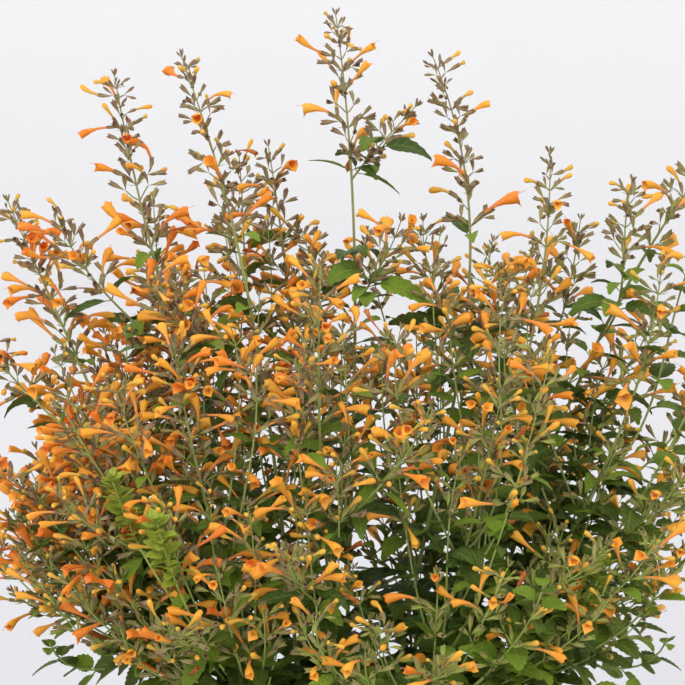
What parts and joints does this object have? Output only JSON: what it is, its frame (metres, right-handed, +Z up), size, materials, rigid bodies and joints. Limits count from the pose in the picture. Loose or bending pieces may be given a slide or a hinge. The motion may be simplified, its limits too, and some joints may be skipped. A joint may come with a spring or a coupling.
{
  "type": "potted giant hyssop",
  "caption": "Bushy flowering herb in a plain round clay pot: square leafy stems ending in whorled spikes of orange tubular flowers.",
  "frame": {"origin": "centre of the pot's flat base, where it stands", "axes": "+Z up along the pot's axis towards the flowers; -Y towards the viewer of the picture; +X to that viewer's right"},
  "size_m": [0.4713, 0.3664, 0.6112],
  "materials": {
    "pot": "matte",
    "soil": "matte",
    "foliage": "satin",
    "flowers": "satin"
  },
  "bodies": {
    "root": {"pot": "pot", "soil": "soil", "spike_01": "flowers", "spike_01a": "flowers", "spike_01b": "flowers", "spike_01c": "flowers", "spike_02": "flowers", "spike_02a": "flowers", "spike_02b": "flowers", "spike_03": "flowers", "spike_03a": "flowers", "spike_03b": "flowers", "spike_04": "flowers", "spike_04a": "flowers", "spike_04b": "flowers", "spike_05": "flowers", "spike_05a": "flowers", "spike_05b": "flowers", "spike_06": "flowers", "spike_06a": "flowers", "spike_06b": "flowers", "spike_07": "flowers", "spike_07a": "flowers", "spike_08": "flowers", "spike_08a": "flowers", "spike_08b": "flowers", "spike_08c": "flowers", "spike_09": "flowers", "spike_09a": "flowers", "spike_09b": "flowers", "spike_09c": "flowers", "spike_10": "flowers", "spike_10a": "flowers", "spike_10b": "flowers", "spike_11": "flowers", "spike_11a": "flowers", "spike_11b": "flowers", "spike_12": "flowers", "spike_12a": "flowers", "spike_12b": "flowers", "spike_13": "flowers", "spike_13a": "flowers", "spike_13b": "flowers", "spike_14": "flowers", "spike_14a": "flowers", "spike_14b": "flowers", "stem_01": "foliage", "stem_02": "foliage", "stem_03": "foliage", "stem_04": "foliage", "stem_05": "foliage", "stem_06": "foliage", "stem_07": "foliage", "stem_08": "foliage", "stem_09": "foliage", "stem_10": "foliage", "stem_11": "foliage", "stem_12": "foliage", "stem_13": "foliage", "stem_14": "foliage"}
  },
  "joints": []
}
